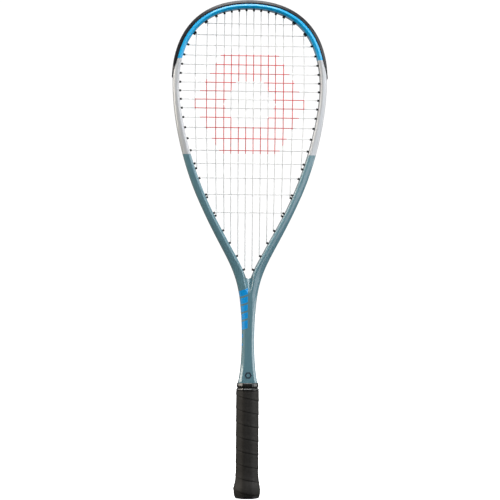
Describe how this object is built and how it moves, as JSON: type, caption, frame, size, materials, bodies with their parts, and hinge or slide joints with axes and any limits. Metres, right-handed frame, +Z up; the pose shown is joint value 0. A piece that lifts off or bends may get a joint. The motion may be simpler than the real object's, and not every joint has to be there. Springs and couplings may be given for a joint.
{
  "type": "squash racket",
  "caption": "Strung teardrop-head racket: hollow painted frame, bumper guard, grommet strips, woven string bed, wrapped eight-sided grip with a sliding rubber collar.",
  "frame": {"origin": "middle of the butt face, the lowest point of the racket standing on its handle", "axes": "+Z up the handle to the head; -Y out of the string face seen in front; +X to the right of that face"},
  "size_m": [0.2148, 0.034, 0.686],
  "materials": {
    "frame_paint": "clear-coated paint over carbon composite, blue, light grey and slate bands",
    "guard_plastic": "moulded nylon, semi gloss",
    "grommet_plastic": "moulded nylon",
    "string": "coated multifilament, off-white with a red stencil",
    "pallet_foam": "moulded foam skin",
    "grip_wrap": "perforated polyurethane grip, tacky, satin",
    "tape": "woven adhesive tape",
    "collar_rubber": "moulded rubber, satin",
    "cap_plastic": "moulded plastic, satin",
    "badge_plastic": "domed resin, gloss",
    "steel": "drawn wire"
  },
  "bodies": {
    "root": {"frame": "frame_paint", "bumper_guard": "guard_plastic", "side_strip_left": "grommet_plastic", "side_strip_right": "grommet_plastic", "throat_strip_left": "grommet_plastic", "throat_strip_right": "grommet_plastic", "mains_string": "string", "crosses_string": "string", "handle_pallet": "pallet_foam", "grip_wrap": "grip_wrap", "finishing_tape": "tape", "butt_cap": "cap_plastic", "butt_badge": "badge_plastic", "cap_staples": "steel", "wrap_tack": "steel"},
    "collar": {"grip_collar": "collar_rubber"}
  },
  "joints": [
    {"name": "collar_slide", "type": "slide", "parent": "root", "child": "collar", "axis": [0, 0, 1], "range_m": [0, 0.06]}
  ]
}
